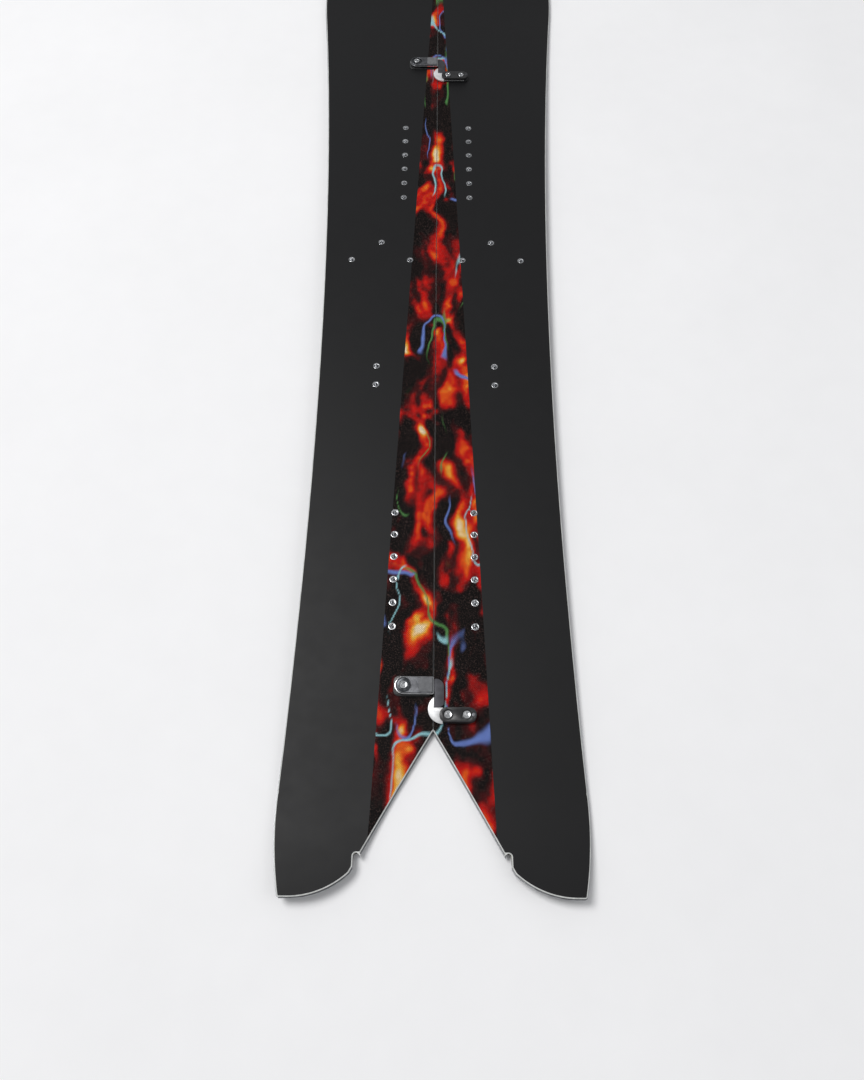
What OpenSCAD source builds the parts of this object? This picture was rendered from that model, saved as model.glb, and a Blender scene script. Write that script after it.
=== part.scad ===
// Swallowtail splitboard: a snowboard that parts lengthwise into two skis.
// Each half is a layered laminate with its own steel edges, sidewalls and threaded inserts.
// A hook clip at the tail and another at the nose hold the halves together.
// +Y points to the nose, +Z up from the snow, and the seam lies on X = 0.

/* [Outline] */
// Overall length, tail end to nose tip
board_l = 1540; // [1500:5:1580]
// Full width at the waist
waist_w = 263; // [256:1:272]
// Sidecut radius
sidecut_r = 7800; // [7200:100:9000]
// Waist, from the tail end
waist_from_tail = 508; // [480:2:530]
// Widest line of the nose, from the tail end
nose_from_tail = 1174; // [1140:2:1190]
// Widest line of the tail, from the tail end
tail_from_tail = 88; // [80:1:96]
// Radius of the side where it draws in to the tail corner
tail_side_r = 293; // [280:1:320]
// Radius of each half's tail end
tail_end_r = 77.3; // [70:0.1:84]
// Centre of the tail end's curve, from the seam
tail_end_x = 125; // [120:0.5:130]
// Top of the swallowtail's V, from the tail end
vee_from_tail = 146; // [140:1:160]
// Half width of the V at the tail end
vee_half_w = 72.4; // [70:0.1:75]
// How far the V's edge bows
vee_bow = 1; // [0:0.1:2]
// Gap between the two halves
seam_gap = 0.6; // [0.4:0.1:1]

/* [Side profile] */
// Height of the camber
camber_h = 5; // [3:0.5:7]
// Height of the nose above the snow, at the base
nose_rise = 55; // [45:1:65]
// Height of the tail above the snow, at the base
tail_rise = 13; // [8:1:18]
// Nose contact line, from the tail end
nose_contact = 1160; // [1120:5:1175]
// Tail contact line, from the tail end
tail_contact = 92; // [85:1:100]

/* [Layers] */
// Thickness of the running base
base_t = 1.4; // [1.2:0.1:1.6]
// Thickness of each fibre laminate
laminate_t = 0.7; // [0.5:0.1:0.9]
// Core thickness under the feet
core_mid_t = 6.4; // [6:0.1:7]
// Core thickness at the tips
core_tip_t = 2.6; // [2.2:0.1:3]
// Thickness of the topsheet and the graphic inlay
topsheet_t = 0.6; // [0.5:0.1:0.8]
// Width of the steel edge
edge_w = 2; // [1.8:0.1:2.2]
// Width of the sidewall, from the board's edge to the core
sidewall_w = 8; // [7:0.5:9]
// Inset of the sidewall's outer face
sidewall_inset = 1.5; // [1:0.1:2]
// Inset of the topsheet
topsheet_inset = 3; // [2.5:0.1:3.5]

/* [Graphic inlay] */
// Half width of the inlay at the rear insert pack
inlay_half_w = 46.5; // [40:0.5:50]
// Narrowing of the inlay towards the nose, per unit of length
inlay_taper = 0.0435; // [0.04:0.0005:0.05]

/* [Skin notch] */
// Radius of the skin clip's notch
notch_r = 2.9; // [2.5:0.1:3.5]
// Centre of the notch, from the seam
notch_x = 67.3; // [66.5:0.1:68]
// Centre of the notch, from the tail end
notch_from_tail = 35.5; // [34:0.5:37]

/* [Inserts] */
// Rear binding pack, from the tail end
pack_from_tail = 313.3; // [305:0.1:320]
// Distance between the binding packs
stance = 568; // [560:1:580]
// Binding inserts, from the seam
pack_x = 41; // [40:0.5:42]
// Pitch of the binding inserts
pack_pitch = 25; // [25]
// Binding inserts in a row
pack_rows = 6; // [6]
// Inner touring bracket insert, from the seam
bracket_x = 31.4; // [30:0.1:33]
// Distance between the bracket's two level inserts
bracket_span = 70; // [70]
// Height of the bracket's triangle
bracket_rise = 28; // [28]
// Touring bracket, ahead of the rear pack
bracket_y = 402.8; // [395:0.1:410]
// Heel riser, ahead of the rear pack
riser_y = 234.7; // [230:0.1:240]
// Pitch of the heel riser's inserts
riser_pitch = 25; // [25]
// Radius of an insert's barrel
insert_r = 3.65; // [3.5:0.05:4]
// Radius of an insert's bore
bore_r = 2.5; // [2.5]
// Depth of an insert's bore
bore_depth = 6.4; // [6:0.1:6.6]
// Radius of an insert's flange
flange_r = 7.5; // [7:0.1:8]

/* [Clips] */
// Tail clip, behind the rear pack
tail_clip_y = 122.8; // [120:0.1:126]
// Nose clip, from the tail end
nose_clip_from_tail = 1070; // [1060:5:1080]
// Latch pivot, from the seam
pivot_x = 28.3; // [27:0.1:30]
// Half width of the latch arm
arm_half_w = 8.6; // [8:0.1:9]
// Distance from the latch's centre line back to the catch's
catch_y = 28.4; // [28:0.1:29]
// First catch screw, from the seam
catch_screw_x = 14.1; // [14:0.1:15]
// Distance between the catch screws
catch_screw_span = 17.6; // [17:0.1:18]
// Clearance between parts that move past each other
clearance = 0.3; // [0.3:0.05:0.5]

/* [Hidden] */
$fn = 64;

// Places along the board, with the board's middle at Y = 0.
tail_y = -board_l / 2;
tip_y = board_l / 2;
waist_y = tail_y + waist_from_tail;
nose_y = tail_y + nose_from_tail;
side_y = tail_y + tail_from_tail;
vee_y = tail_y + vee_from_tail;
front_contact_y = tail_y + nose_contact;
rear_contact_y = tail_y + tail_contact;
rear_y = tail_y + pack_from_tail;
front_y = rear_y + stance;
tail_clip = rear_y - tail_clip_y;
nose_clip = tail_y + nose_clip_from_tail;
seam_x = seam_gap / 2;

// The core keeps its full thickness between these two lines and thins towards the tips.
core_rear_y = rear_y - 40;
core_front_y = front_y + 40;
core_end_y = tail_y + 40;
core_nose_y = tip_y - 290;
// The core ends here, against the tail and nose spacers.
spacer_tail_y = tail_y + 54;
spacer_nose_y = tip_y - 60;

// Points along each stretch of the side profile.
tail_steps = 6;
camber_steps = 28;
nose_steps = 20;
over = 2;
tall = 200;

// Nose outline: exponent of its curve, and points along it.
nose_power = 2.4;
nose_points = 26;

// Barrels and flanges sit in holes this much larger, and flanges this far above the laminate.
hole_play = 0.1;
flange_t = 1;
flange_lift = 0.2;
clip_flange_r = 6;
// Flanges in a clip's tilted frame need more room over the laminate.
clip_flange_lift = 0.35;

// Heights in a clip, above the topsheet.
seat_z = 0.05;
plate_t = 1;
boss_z = 3;
hook_z = 1.3;
hook_t = 2;
arm_z = hook_z + hook_t;
arm_t = 2.8;
recess_t = 1.6;
washer_t = 0.5;
head_t = 1.7;
head_r = 3.8;
cover_t = 3;
counterbore_z = arm_z + 1.4;
// How far the clips' screws reach below the topsheet, and their hex sockets.
screw_reach = 4.4;
socket_r = 1.6;
small_socket_r = 1.2;
// Base plate of a latch: half width, corner radius, boss, and its countersunk screw.
plate_half_w = 9.8;
plate_corner_r = 5;
boss_r = 8;
flat_head_r = 3.6;
flat_head_t = 0.25;
washer_r = 6.6;
// Grip pad let into the arm: ends from the seam, depth of its recess, and its thickness.
grip_x0 = -13.95;
grip_x1 = -0.85;
grip_half_w = 6.95;
grip_t = 1.1;
grip_sink = 0.5;

// A smooth step from 0 to 1 as t goes from 0 to 1.
function smooth(t) = let (c = min(1, max(0, t))) c * c * (3 - 2 * c);

// Height of the base's underside along the board: cosine camber, then rising tips.
function rise(y) =
    y > front_contact_y ? nose_rise * pow((y - front_contact_y) / (tip_y - front_contact_y), 2.1)
    : y < rear_contact_y ? tail_rise * pow((rear_contact_y - y) / (rear_contact_y - tail_y), 1.9)
    : camber_h * (1 - cos(360 * (y - rear_contact_y) / (front_contact_y - rear_contact_y))) / 2;

// Core thickness along the board.
function core_t(y) = core_tip_t + (core_mid_t - core_tip_t)
    * (1 - smooth((core_rear_y - y) / (core_rear_y - core_end_y)))
    * (1 - smooth((y - core_front_y) / (core_nose_y - core_front_y)));

// Height of the top of layer k above the base's underside: 1 base, 2 lower laminate,
// 3 core, 4 upper laminate, 5 topsheet. Layer 0 is the underside itself.
function stack(k, y) = (k > 0 ? base_t : 0) + (k > 1 ? laminate_t : 0) + (k > 2 ? core_t(y) : 0)
    + (k > 3 ? laminate_t : 0) + (k > 4 ? topsheet_t : 0);
function level(k, y) = rise(y) + stack(k, y);
function slope(y) = atan((level(5, y + 10) - level(5, y - 10)) / 20);

// Breaks along the board where every layer's profile has its points.
profile_y = concat(
    [for (i = [0:tail_steps]) tail_y - over + (rear_contact_y - tail_y + over) * i / tail_steps],
    [for (i = [1:camber_steps]) rear_contact_y + (front_contact_y - rear_contact_y) * i / camber_steps],
    [for (i = [1:nose_steps]) front_contact_y + (tip_y + over - front_contact_y) * i / nose_steps]);

// Half width of the sidecut.
function side_x(y) = waist_w / 2 + pow(y - waist_y, 2) / (2 * sidecut_r);

// The side's arc that draws in to the tail corner leaves the sidecut at a tangent.
side_slope = (side_y - waist_y) / sidecut_r;
side_c = [side_x(side_y), side_y] + tail_side_r * [-1, side_slope] / norm([1, side_slope]);
corner_a = asin((tail_y - side_c.y) / tail_side_r);
side_a = -atan(side_slope);
tail_end_c = [tail_end_x, tail_y + tail_end_r];
tail_tip = [vee_half_w, tail_end_c.y - sqrt(pow(tail_end_r, 2) - pow(tail_end_x - vee_half_w, 2))];
tail_tip_a = atan2(tail_tip.y - tail_end_c.y, tail_tip.x - tail_end_c.x);

// Nose: an oval closing curve that carries on from the sidecut's slope.
nose_l = tip_y - nose_y;
nose_slope = (nose_y - waist_y) / sidecut_r;
function nose_x(t) = (side_x(nose_y) + nose_slope * nose_l * t * pow(1 - t, 4)) * sqrt(1 - pow(t, nose_power));

function arc(c, r, a0, a1, n) =
    [for (i = [0:n]) let (a = a0 + (a1 - a0) * i / n) c + r * [cos(a), sin(a)]];
function bowed(p, q, bow, n) = let (d = q - p, side = [d.y, -d.x] / norm(d))
    [for (i = [0:n]) let (t = i / n) p + d * t + side * bow * 4 * t * (1 - t)];

// Outline of the right half, counter-clockwise from the top of the V.
vee_steps = 6;
tail_end_steps = 8;
tail_side_steps = 7;
cut_steps = 28;
vee_path = bowed([seam_x, vee_y], tail_tip, -vee_bow, vee_steps);
tail_path = arc(tail_end_c, tail_end_r, tail_tip_a, -90, tail_end_steps);
side_path = arc(side_c, tail_side_r, corner_a, side_a, tail_side_steps);
cut_path = [for (i = [1:cut_steps]) let (y = side_y + (nose_y - side_y) * i / cut_steps) [side_x(y), y]];
nose_path = [for (i = [1:nose_points]) let (t = 1 - pow(1 - i / nose_points, 2))
    [max(seam_x, nose_x(t)), nose_y + nose_l * t]];
function tail_of(p) = [for (i = [1:len(p) - 1]) p[i]];
outline = concat(vee_path, tail_of(tail_path), side_path, cut_path, nose_path);
outer_first = vee_steps;
outer_last = len(outline) - 1;

// Moves every edge of the outline inwards by d, and the seam's edge by seam_d.
function inward(p, q) = let (e = q - p) [-e.y, e.x] / norm(e);
function inset_at(i, d, seam_d) = let (
    n = len(outline),
    p = outline[i],
    a = inward(outline[(i + n - 1) % n], p),
    b = inward(p, outline[(i + 1) % n]),
    da = i == 0 ? seam_d : d,
    db = i == n - 1 ? seam_d : d,
    det = a.x * b.y - a.y * b.x)
    da == db ? p + (a + b) * da / (1 + a * b)
    : p + [b.y * da - a.y * db, a.x * db - b.x * da] / det;
function inset(d, seam_d) = [for (i = [0:len(outline) - 1]) inset_at(i, d, seam_d)];
function strip(first, last, d0, s0, d1, s1) = concat(
    [for (i = [first:last]) inset_at(i, d0, s0)], [for (i = [last:-1:first]) inset_at(i, d1, s1)]);
function inner_strip(d0, s0, d1, s1) = concat(
    [inset_at(outer_last, d0, s0)], [for (i = [0:vee_steps]) inset_at(i, d0, s0)],
    [for (i = [vee_steps:-1:0]) inset_at(i, d1, s1)], [inset_at(outer_last, d1, s1)]);

// Insets at the seam, where the halves meet edge to edge.
seam_wall_inset = 0.2;
seam_top_inset = 0.4;
seam_wall_w = 6;

// Places of the inserts on the right half.
binding_spots = [for (c = [rear_y, front_y]) for (i = [0:pack_rows - 1])
    [pack_x, c + (i - (pack_rows - 1) / 2) * pack_pitch]];
bracket_spots = [[bracket_x, rear_y + bracket_y], [bracket_x + bracket_span, rear_y + bracket_y],
                 [bracket_x + bracket_span / 2, rear_y + bracket_y + bracket_rise]];
riser_spots = [for (i = [-0.5, 0.5]) [bracket_x + bracket_span / 2, rear_y + riser_y + i * riser_pitch]];
all_spots = concat(binding_spots, bracket_spots, riser_spots);
clip_lines = [tail_clip, nose_clip];
base_screw_x = 9;
latch_spots = [[-pivot_x, 0], [-base_screw_x, 0]];
catch_spots = [for (i = [0, 1]) [catch_screw_x + i * catch_screw_span, -catch_y]];
clip_bore_depth = 5;
screw_r = 2.4;
shoulder_r = 2.95;
arm_bore_r = 3;

// ---- frames and common shapes ----

// Draws its children for the right half, or mirrored for the left.
module half(side) {
    if (side < 0) mirror([1, 0, 0]) children();
    else children();
}

// A frame that lies on the topsheet at a clip, with its origin on the seam.
module clip_frame(y) {
    translate([0, y, level(5, y)]) rotate([slope(y), 0, 0]) children();
}

// The whole width of the board between the tops of two layers.
module between(low, high) {
    low_side = [for (y = profile_y) [y, level(low, y)]];
    high_side = [for (i = [len(profile_y) - 1:-1:0]) [profile_y[i], level(high, profile_y[i])]];
    rotate([90, 0, 90]) linear_extrude(height = tall) polygon(concat(low_side, high_side));
}

module plan(points) {
    translate([0, 0, -over]) linear_extrude(height = tall) polygon(points);
}

// One layer of the right half: its plan outline, cut to its height, less the skin notch.
module layer(low, high, points, notch_grow = 0) {
    difference() {
        intersection() {
            plan(points);
            between(low, high);
        }
        skin_notch(notch_r + notch_grow);
    }
}

module skin_notch(r) {
    y = tail_y + notch_from_tail;
    translate([notch_x, y, -over]) cylinder(h = tall, r = r);
    translate([notch_x - r, y - 50, -over]) cube([2 * r, 50, tall]);
}

// Holes through the upper layers for every insert of a half.
module insert_holes(side) {
    for (s = all_spots) translate([s.x, s.y, -over]) cylinder(h = tall, r = insert_r + hole_play);
    clip_holes(side, insert_r + hole_play, -10, 20);
}

module clip_holes(side, r, z, h) {
    spots = side < 0 ? latch_spots : catch_spots;
    for (y = clip_lines) clip_frame(y) for (s = spots) translate([abs(s.x), s.y, z]) cylinder(h = h, r = r);
}

// Seats for the inserts' flanges, at the bottom of the core.
module flange_seats(side) {
    h = flange_t + over;
    r = clip_flange_r + hole_play;
    spots = side < 0 ? latch_spots : catch_spots;
    for (s = all_spots) translate([s.x, s.y, level(2, s.y) + flange_lift + hole_play - over])
        cylinder(h = h, r = flange_r + hole_play);
    for (y = clip_lines) clip_frame(y) for (s = spots)
        translate([abs(s.x), s.y, hole_play - over - clip_depth(y, s.y)]) cylinder(h = h, r = r);
}

// A flanged tee nut, drawn down from the topsheet to the foot of the core.
module tee_nut(depth, bore, foot_r) {
    difference() {
        union() {
            translate([0, 0, -depth]) cylinder(h = depth - seat_z, r = insert_r);
            translate([0, 0, -depth]) cylinder(h = flange_t, r = foot_r);
        }
        translate([0, 0, -bore]) cylinder(h = bore + 1, r = bore_r);
    }
}

// Depth of an insert's flange below the topsheet, and below a clip's frame at local place v.
function insert_depth(y) = stack(5, y) - stack(2, y) - flange_lift;
function clip_depth(y, v) = let (a = slope(y), at = y + v * cos(a))
    (level(5, y) + v * sin(a) - level(2, at)) * cos(a) - clip_flange_lift;

// ---- sub-parts of one half ----

module base() {
    color("#17171a") layer(0, 1, inset(edge_w, edge_w));
}

module steel_edge_outer() {
    color("#b9bcc0") layer(0, 2, strip(outer_first, outer_last, 0, 0, edge_w, edge_w));
}

module steel_edge_inner() {
    color("#b9bcc0") layer(0, 2, inner_strip(0, 0, edge_w, edge_w));
}

module lower_laminate() {
    color("#c9c2a0") layer(1, 2, inset(edge_w, edge_w));
}

module core(side) {
    color("#c79f6b") difference() {
        intersection() {
            layer(2, 3, inset(sidewall_w, seam_wall_w));
            translate([0, spacer_tail_y, -over]) cube([tall, spacer_nose_y - spacer_tail_y, tall]);
        }
        insert_holes(side);
        flange_seats(side);
    }
}

module sidewalls_span() {
    translate([-1, spacer_tail_y, -over]) cube([tall + 1, spacer_nose_y - spacer_tail_y, tall]);
}

module sidewall_outer() {
    color("#d9dadc") intersection() {
        layer(2, 3, strip(outer_first, outer_last, sidewall_inset, seam_wall_inset, sidewall_w, seam_wall_w));
        sidewalls_span();
    }
}

module sidewall_inner(side) {
    color("#d9dadc") difference() {
        intersection() {
            layer(2, 3, inner_strip(sidewall_inset, seam_wall_inset, sidewall_w, seam_wall_w));
            sidewalls_span();
        }
        insert_holes(side);
        flange_seats(side);
    }
}

module nose_spacer() {
    color("#d2d3d6") intersection() {
        layer(2, 3, inset(sidewall_inset, seam_wall_inset));
        translate([-1, spacer_nose_y, -over]) cube([tall, tall, tall]);
    }
}

module tail_spacer() {
    color("#d2d3d6") intersection() {
        layer(2, 3, inset(sidewall_inset, seam_wall_inset), 0.3);
        translate([-1, spacer_tail_y - tall, -over]) cube([tall, tall, tall]);
    }
}

module upper_laminate(side) {
    color("#c9c2a0") difference() {
        layer(3, 4, inset(topsheet_inset, seam_top_inset), 0.6);
        insert_holes(side);
    }
}

// The long wedge along the seam that holds the graphic.
module inlay_wedge() {
    far_y = rear_y + inlay_half_w / inlay_taper;
    near_y = tail_y - 10;
    near_w = inlay_half_w + inlay_taper * (rear_y - near_y);
    translate([0, 0, -over]) linear_extrude(height = tall)
        polygon([[0, near_y], [near_w, near_y], [0, far_y]]);
}

module topsheet(side) {
    color("#2c2c2e") difference() {
        layer(4, 5, inset(topsheet_inset, seam_top_inset), 0.6);
        inlay_wedge();
        insert_holes(side);
    }
}

module graphic_inlay(side) {
    color("#7c1512") difference() {
        intersection() {
            layer(4, 5, inset(topsheet_inset, seam_top_inset), 0.6);
            inlay_wedge();
        }
        insert_holes(side);
    }
}

module inserts(spots) {
    for (s = spots) translate([s.x, s.y, level(5, s.y)]) tee_nut(insert_depth(s.y), bore_depth, flange_r);
}

module binding_inserts() {
    color("#cfd1d4") inserts(binding_spots);
}

module bracket_inserts() {
    color("#cfd1d4") inserts(bracket_spots);
}

module riser_inserts() {
    color("#cfd1d4") inserts(riser_spots);
}

module clip_inserts(side) {
    spots = side < 0 ? latch_spots : catch_spots;
    color("#cfd1d4") for (y = clip_lines) clip_frame(y) for (s = spots)
        translate([abs(s.x), s.y, 0]) tee_nut(clip_depth(y, s.y), clip_bore_depth, clip_flange_r);
}

// ---- sub-parts of one clip, in the clip's own frame ----

module rounded(x0, x1, y0, y1, r) {
    polygon(concat(arc([x1 - r, y1 - r], r, 0, 90, 6), arc([x0 + r, y1 - r], r, 90, 180, 6),
                   arc([x0 + r, y0 + r], r, 180, 270, 6), arc([x1 - r, y0 + r], r, 270, 360, 6)));
}

module latch_base() {
    color("#151517") difference() {
        union() {
            translate([0, 0, seat_z]) linear_extrude(height = plate_t - seat_z)
                rounded(-pivot_x - plate_half_w, -1, -plate_half_w, plate_half_w, plate_corner_r);
            translate([-pivot_x, 0, seat_z]) cylinder(h = boss_z - seat_z, r = boss_r);
        }
        translate([-pivot_x, 0, -1]) cylinder(h = boss_z + 2, r = shoulder_r + hole_play);
        translate([-base_screw_x, 0, -1]) cylinder(h = plate_t + 2, r = screw_r + hole_play);
    }
}

module latch_base_screw() {
    color("#8f9296") translate([-base_screw_x, 0, 0]) difference() {
        union() {
            translate([0, 0, -screw_reach]) cylinder(h = screw_reach + plate_t, r = screw_r);
            translate([0, 0, plate_t]) cylinder(h = flat_head_t, r = flat_head_r);
        }
        translate([0, 0, 0.4]) cylinder(h = over, r = small_socket_r, $fn = 6);
    }
}

module latch_pivot_screw() {
    z = arm_z + arm_t - recess_t + clearance + washer_t;
    color("#d6d8da") translate([-pivot_x, 0, 0]) difference() {
        union() {
            translate([0, 0, -screw_reach]) cylinder(h = screw_reach + 0.6, r = screw_r);
            translate([0, 0, 0.1]) cylinder(h = z - 0.1, r = shoulder_r);
            translate([0, 0, z]) cylinder(h = head_t, r = head_r);
        }
        translate([0, 0, z]) cylinder(h = head_t + 1, r = socket_r, $fn = 6);
    }
}

module latch_washer() {
    z = arm_z + arm_t - recess_t + clearance;
    color("#5c5e61") translate([-pivot_x, 0, z]) difference() {
        cylinder(h = washer_t, r = washer_r);
        translate([0, 0, -1]) cylinder(h = washer_t + 2, r = shoulder_r + 0.05);
    }
}

module latch_arm() {
    color("#a9acb0") difference() {
        translate([-pivot_x, 0, arm_z]) union() {
            cylinder(h = arm_t, r = arm_half_w);
            translate([0, -arm_half_w, 0]) cube([pivot_x + 0.4, 2 * arm_half_w, arm_t]);
        }
        translate([-pivot_x, 0, arm_z - 1]) cylinder(h = arm_t + 2, r = arm_bore_r);
        translate([-pivot_x, 0, arm_z + arm_t - recess_t]) cylinder(h = arm_t, r = 7);
        translate([grip_x0 - seat_z, -grip_half_w - seat_z, arm_z + arm_t - grip_sink])
            cube([grip_x1 - grip_x0 + 2 * seat_z, 2 * (grip_half_w + seat_z), 1]);
    }
}

module latch_grip() {
    color("#6a6c70") translate([0, 0, arm_z + arm_t - grip_sink]) linear_extrude(height = grip_t)
        rounded(grip_x0, grip_x1, -grip_half_w, grip_half_w, 1.5);
}

// The hook's end lies beside the catch and points to the tail.
hook_x0 = 1.1;
hook_x1 = 10.2;
hook_y0 = -20.8;
hook_y1 = 6.9;
module latch_hook() {
    color("#4a4a4e") translate([0, 0, hook_z]) linear_extrude(height = hook_t)
        polygon(concat([[-12, -6], [hook_x0, -6], [hook_x0, hook_y0]],
                       arc([hook_x1 - 4.5, hook_y0 + 4.5], 4.5, -90, 0, 6),
                       arc([hook_x1 - 8, hook_y1 - 8], 8, 0, 80, 8),
                       [[-12, hook_y1 - 0.9]]));
}

cover_x0 = 5.8;
cover_x1 = 41;
cover_half_w = 7.1;
cover_corner_r = 6.9;
counterbore_r = 4.8;
pin_r = 2;
pin_x = cover_x1 - 2.6;
pin_z = arm_z + 1.8;
module catch_base() {
    color("#151517") difference() {
        translate([0, 0, seat_z]) linear_extrude(height = hook_z - seat_z)
            rounded(cover_x0, cover_x1, -catch_y - cover_half_w, -catch_y + cover_half_w, cover_corner_r);
        for (s = catch_spots) translate([s.x, s.y, -1]) cylinder(h = 4, r = screw_r + hole_play);
    }
}

catch_c = [9, -22.5];
catch_r = 14;
module catch_hook() {
    color("#e3e4e6") difference() {
        translate([0, 0, hook_z]) union() {
            difference() {
                translate([catch_c.x, catch_c.y, 0]) cylinder(h = hook_t, r = catch_r);
                translate([hook_x0 - clearance, hook_y0 - clearance, -1]) cube([40, 40, hook_t + 2]);
                translate([catch_c.x, hook_y0 - clearance - 30, -1]) cube([40, 40, hook_t + 2]);
            }
            translate([catch_c.x - 1, -catch_y - 5.5, 0]) cube([28, 11, hook_t]);
        }
        for (s = catch_spots) translate([s.x, s.y, -1]) cylinder(h = 8, r = screw_r + hole_play);
    }
}

module catch_cover() {
    color("#1d1d20") difference() {
        translate([0, 0, arm_z]) linear_extrude(height = cover_t)
            rounded(cover_x0, cover_x1, -catch_y - cover_half_w, -catch_y + cover_half_w, cover_corner_r);
        for (s = catch_spots) {
            translate([s.x, s.y, 0]) cylinder(h = 10, r = screw_r + hole_play);
            translate([s.x, s.y, counterbore_z]) cylinder(h = 10, r = counterbore_r);
        }
        translate([pin_x, -catch_y, pin_z]) cylinder(h = 10, r = pin_r + seat_z);
    }
}

module catch_screws() {
    color("#d6d8da") for (s = catch_spots) translate([s.x, s.y, 0]) difference() {
        union() {
            translate([0, 0, -screw_reach]) cylinder(h = screw_reach + counterbore_z, r = screw_r);
            translate([0, 0, counterbore_z]) cylinder(h = 2.2, r = head_r);
        }
        translate([0, 0, arm_z + 2]) cylinder(h = 3, r = socket_r, $fn = 6);
    }
}

module catch_pin() {
    color("#8f9296") translate([pin_x, -catch_y, pin_z]) cylinder(h = 1.8, r = pin_r);
}

// ---- the nodes ----

half(-1) base();  // left_base
half(-1) steel_edge_outer();  // left_steel_edge_outer
half(-1) steel_edge_inner();  // left_steel_edge_inner
half(-1) lower_laminate();  // left_lower_laminate
half(-1) core(-1);  // left_core
half(-1) sidewall_outer();  // left_sidewall_outer
half(-1) sidewall_inner(-1);  // left_sidewall_inner
half(-1) nose_spacer();  // left_nose_spacer
half(-1) tail_spacer();  // left_tail_spacer
half(-1) upper_laminate(-1);  // left_upper_laminate
half(-1) topsheet(-1);  // left_topsheet
half(-1) graphic_inlay(-1);  // left_graphic_inlay
half(-1) binding_inserts();  // left_binding_inserts
half(-1) bracket_inserts();  // left_bracket_inserts
half(-1) riser_inserts();  // left_riser_inserts
half(-1) clip_inserts(-1);  // left_clip_inserts
half(1) base();  // right_base
half(1) steel_edge_outer();  // right_steel_edge_outer
half(1) steel_edge_inner();  // right_steel_edge_inner
half(1) lower_laminate();  // right_lower_laminate
half(1) core(1);  // right_core
half(1) sidewall_outer();  // right_sidewall_outer
half(1) sidewall_inner(1);  // right_sidewall_inner
half(1) nose_spacer();  // right_nose_spacer
half(1) tail_spacer();  // right_tail_spacer
half(1) upper_laminate(1);  // right_upper_laminate
half(1) topsheet(1);  // right_topsheet
half(1) graphic_inlay(1);  // right_graphic_inlay
half(1) binding_inserts();  // right_binding_inserts
half(1) bracket_inserts();  // right_bracket_inserts
half(1) riser_inserts();  // right_riser_inserts
half(1) clip_inserts(1);  // right_clip_inserts
clip_frame(tail_clip) latch_base();  // tail_latch_base
clip_frame(tail_clip) latch_base_screw();  // tail_latch_base_screw
clip_frame(tail_clip) latch_pivot_screw();  // tail_latch_pivot_screw
clip_frame(tail_clip) latch_washer();  // tail_latch_washer
clip_frame(tail_clip) latch_arm();  // tail_latch_arm
clip_frame(tail_clip) latch_grip();  // tail_latch_grip
clip_frame(tail_clip) latch_hook();  // tail_latch_hook
clip_frame(tail_clip) catch_base();  // tail_catch_base
clip_frame(tail_clip) catch_hook();  // tail_catch_hook
clip_frame(tail_clip) catch_cover();  // tail_catch_cover
clip_frame(tail_clip) catch_screws();  // tail_catch_screws
clip_frame(tail_clip) catch_pin();  // tail_catch_pin
clip_frame(nose_clip) latch_base();  // nose_latch_base
clip_frame(nose_clip) latch_base_screw();  // nose_latch_base_screw
clip_frame(nose_clip) latch_pivot_screw();  // nose_latch_pivot_screw
clip_frame(nose_clip) latch_washer();  // nose_latch_washer
clip_frame(nose_clip) latch_arm();  // nose_latch_arm
clip_frame(nose_clip) latch_grip();  // nose_latch_grip
clip_frame(nose_clip) latch_hook();  // nose_latch_hook
clip_frame(nose_clip) catch_base();  // nose_catch_base
clip_frame(nose_clip) catch_hook();  // nose_catch_hook
clip_frame(nose_clip) catch_cover();  // nose_catch_cover
clip_frame(nose_clip) catch_screws();  // nose_catch_screws
clip_frame(nose_clip) catch_pin();  // nose_catch_pin
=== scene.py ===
from math import radians

import bmesh
import bpy
import numpy as np
from mathutils import Matrix, Vector


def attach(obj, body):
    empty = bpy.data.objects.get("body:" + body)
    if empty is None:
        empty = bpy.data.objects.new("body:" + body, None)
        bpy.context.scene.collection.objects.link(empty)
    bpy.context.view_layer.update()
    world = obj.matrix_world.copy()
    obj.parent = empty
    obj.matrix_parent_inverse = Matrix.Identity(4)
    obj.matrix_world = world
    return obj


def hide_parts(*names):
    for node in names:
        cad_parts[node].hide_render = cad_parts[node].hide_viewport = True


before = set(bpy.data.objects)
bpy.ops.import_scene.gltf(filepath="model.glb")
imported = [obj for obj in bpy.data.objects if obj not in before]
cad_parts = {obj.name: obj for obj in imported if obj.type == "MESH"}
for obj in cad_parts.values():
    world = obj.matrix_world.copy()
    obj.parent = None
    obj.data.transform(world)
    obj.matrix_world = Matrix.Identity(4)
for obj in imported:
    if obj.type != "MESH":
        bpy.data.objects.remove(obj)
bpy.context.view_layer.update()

# ---- Studio ----
# A pale paper floor under one large soft light from the left, with a weak fill from the right
# and an evenly lit room, seen from above the tail.

cam_place = Vector((-0.0024, -0.8302, 0.857))
cam_aim = Vector((-0.0024, -0.4255, 0.0121))
cam_roll = radians(0.45)

lens = bpy.data.cameras.new("studio_camera")
lens.lens = 30.4
lens.sensor_width = 36.0
lens.clip_start = 0.01
camera = bpy.data.objects.new("studio_camera", lens)
turn = (cam_aim - cam_place).to_track_quat("-Z", "Y").to_matrix().to_4x4()
camera.matrix_world = Matrix.Translation(cam_place) @ turn @ Matrix.Rotation(cam_roll, 4, "Z")
bpy.context.scene.collection.objects.link(camera)
bpy.context.scene.camera = camera
bpy.context.scene.view_settings.view_transform = "Standard"


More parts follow.
